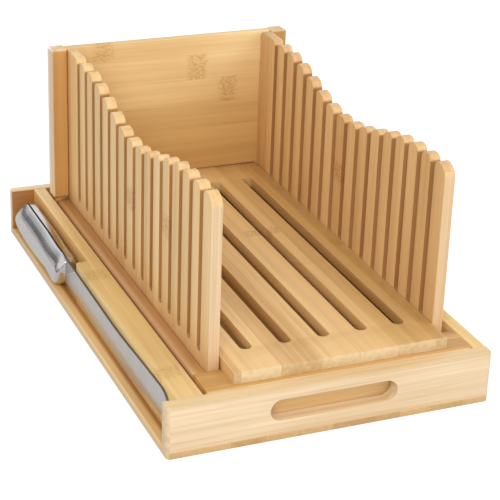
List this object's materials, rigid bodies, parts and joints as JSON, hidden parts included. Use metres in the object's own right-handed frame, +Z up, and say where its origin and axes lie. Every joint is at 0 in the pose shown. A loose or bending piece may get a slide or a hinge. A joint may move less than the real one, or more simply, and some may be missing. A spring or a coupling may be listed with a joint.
{
  "type": "bread slicer guide",
  "caption": "Bamboo bread slicer: slotted guides on a lift-out frame with a board over a crumb tray, a back stop, and a bread knife in a side bay",
  "frame": {"origin": "middle of the tray's underside", "axes": "+X to the right as seen from the handle end, +Y from the handle end towards the back stop, +Z up"},
  "size_m": [0.222, 0.3614, 0.1536],
  "materials": {
    "bamboo_tray": "light bamboo, satin oil",
    "bamboo_base": "bamboo plywood, satin oil",
    "bamboo_frame": "light bamboo, satin oil",
    "bamboo_guides": "light bamboo, satin oil",
    "bamboo_board": "light bamboo, satin oil",
    "bamboo_panel": "light bamboo with visible nodes, satin oil",
    "bamboo_battens": "warm bamboo, satin oil",
    "dowel_wood": "plain beech",
    "fixings": "plain steel",
    "magnets": "nickel plated",
    "knife_steel": "satin ground stainless",
    "grip_steel": "polished stainless"
  },
  "bodies": {
    "tray": {"base_plate": "bamboo_base", "front_wall": "bamboo_tray", "back_wall": "bamboo_tray", "right_wall": "bamboo_tray", "divider": "bamboo_tray", "front_ledge": "bamboo_tray", "rear_ledge": "bamboo_tray", "base_screws": "fixings", "wall_dowels": "dowel_wood", "knife_magnets": "magnets"},
    "slicing_frame": {"front_beam": "bamboo_frame", "rear_beam": "bamboo_frame", "left_rail": "bamboo_frame", "right_rail": "bamboo_frame", "frame_dowels": "dowel_wood", "left_guide": "bamboo_guides", "right_guide": "bamboo_guides", "left_hinge_pins": "fixings", "right_hinge_pins": "fixings"},
    "slotted_board": {"board": "bamboo_board"},
    "back_stop": {"back_panel": "bamboo_panel", "left_batten": "bamboo_battens", "right_batten": "bamboo_battens", "panel_pins": "dowel_wood"},
    "knife": {"knife_blade": "knife_steel", "left_grip": "grip_steel", "right_grip": "grip_steel"}
  },
  "joints": [
    {"name": "frame_lift", "type": "slide", "parent": "tray", "child": "slicing_frame", "axis": [0, 0, 1], "range_m": [0, 0.08]},
    {"name": "board_slide", "type": "slide", "parent": "slicing_frame", "child": "slotted_board", "axis": [0, -1, 0], "range_m": [0, 0.15]},
    {"name": "panel_lift", "type": "slide", "parent": "slicing_frame", "child": "back_stop", "axis": [0, 0, 1], "range_m": [0, 0.05]},
    {"name": "knife_lift", "type": "slide", "parent": "tray", "child": "knife", "axis": [0, 0, 1], "range_m": [0, 0.08]}
  ]
}
